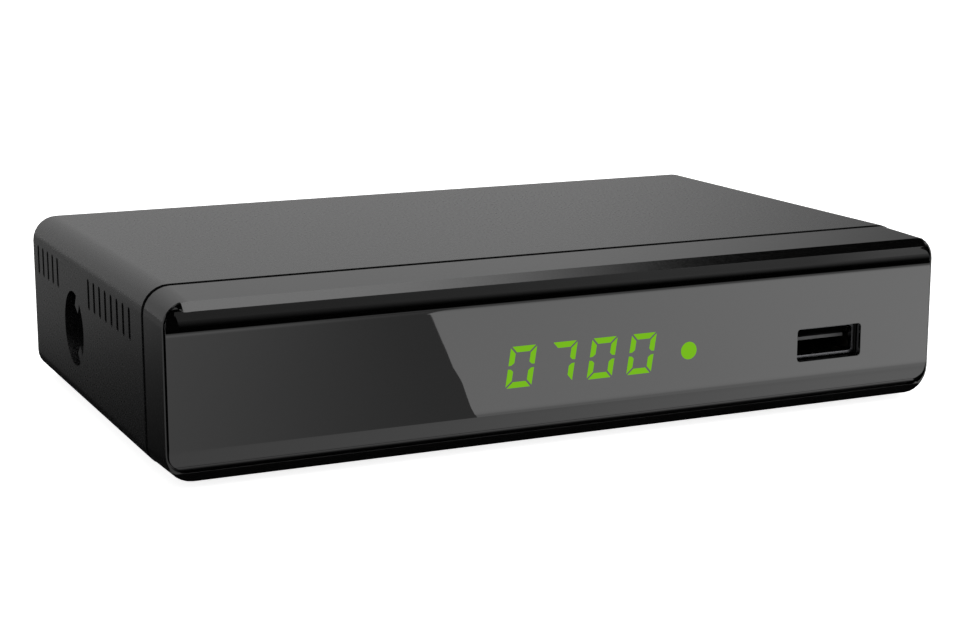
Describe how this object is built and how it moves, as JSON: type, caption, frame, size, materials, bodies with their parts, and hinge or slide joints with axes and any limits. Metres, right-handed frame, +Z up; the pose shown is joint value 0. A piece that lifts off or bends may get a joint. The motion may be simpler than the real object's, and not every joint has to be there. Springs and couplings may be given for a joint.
{
  "type": "terrestrial tv receiver",
  "caption": "Compact terrestrial tv receiver: vented moulded housing, chamfered visor over a glossy display window, front USB socket, side power inlet and a rear socket panel.",
  "frame": {"origin": "on the surface that the four feet stand on, under the middle of the footprint from the visor's nose to the mouths of the aerial sockets", "axes": "+Z up, the front window faces -Y, +X is to the right of someone facing the front"},
  "size_m": [0.15, 0.1014, 0.032],
  "materials": {
    "housing": "fine-textured matte moulding",
    "bezel": "satin moulding",
    "window": "high gloss smoked acrylic",
    "panel": "matte",
    "foot_rubber": "matte",
    "screw_steel": "zinc plated",
    "circuit_board": "solder mask",
    "socket_plastic": "satin",
    "nickel": "nickel plated",
    "contact": "plated",
    "insulator": "satin",
    "orange_plastic": "satin",
    "display": "satin",
    "light": "lit diffuser",
    "infrared": "gloss",
    "tinplate": "tinned",
    "chip": "moulded epoxy",
    "heatsink": "extruded",
    "capacitor": "heat-shrink sleeve"
  },
  "bodies": {
    "root": {"housing_shell": "housing", "base_plate": "housing", "front_bezel": "bezel", "front_window": "window", "rear_panel": "panel", "foot_front_left": "foot_rubber", "foot_front_right": "foot_rubber", "foot_rear_left": "foot_rubber", "foot_rear_right": "foot_rubber", "closing_screw_front_left": "screw_steel", "closing_screw_front_right": "screw_steel", "closing_screw_rear_left": "screw_steel", "closing_screw_rear_right": "screw_steel", "main_board": "circuit_board", "board_screw_front_left": "screw_steel", "board_screw_front_right": "screw_steel", "board_screw_rear_left": "screw_steel", "board_screw_rear_right": "screw_steel", "front_board": "circuit_board", "board_header": "socket_plastic", "display_module": "display", "status_light": "light", "infrared_receiver": "infrared", "usb_shell": "nickel", "usb_insulator": "socket_plastic", "tuner_can": "tinplate", "tuner_lid": "tinplate", "aerial_in_sleeve": "nickel", "aerial_in_insulator": "insulator", "aerial_in_contact": "contact", "aerial_out_sleeve": "nickel", "aerial_out_insulator": "insulator", "aerial_out_pin": "contact", "hdmi_shell": "nickel", "hdmi_tongue": "socket_plastic", "coax_body": "socket_plastic", "coax_sleeve": "nickel", "coax_insulator": "orange_plastic", "scart_shroud": "socket_plastic", "scart_insert": "socket_plastic", "dc_jack": "socket_plastic", "dc_pin": "nickel", "main_chip": "chip", "heatsink": "heatsink", "memory_chip": "chip", "crystal": "tinplate", "power_choke": "chip", "capacitor_1": "capacitor", "capacitor_2": "capacitor"}
  },
  "joints": []
}
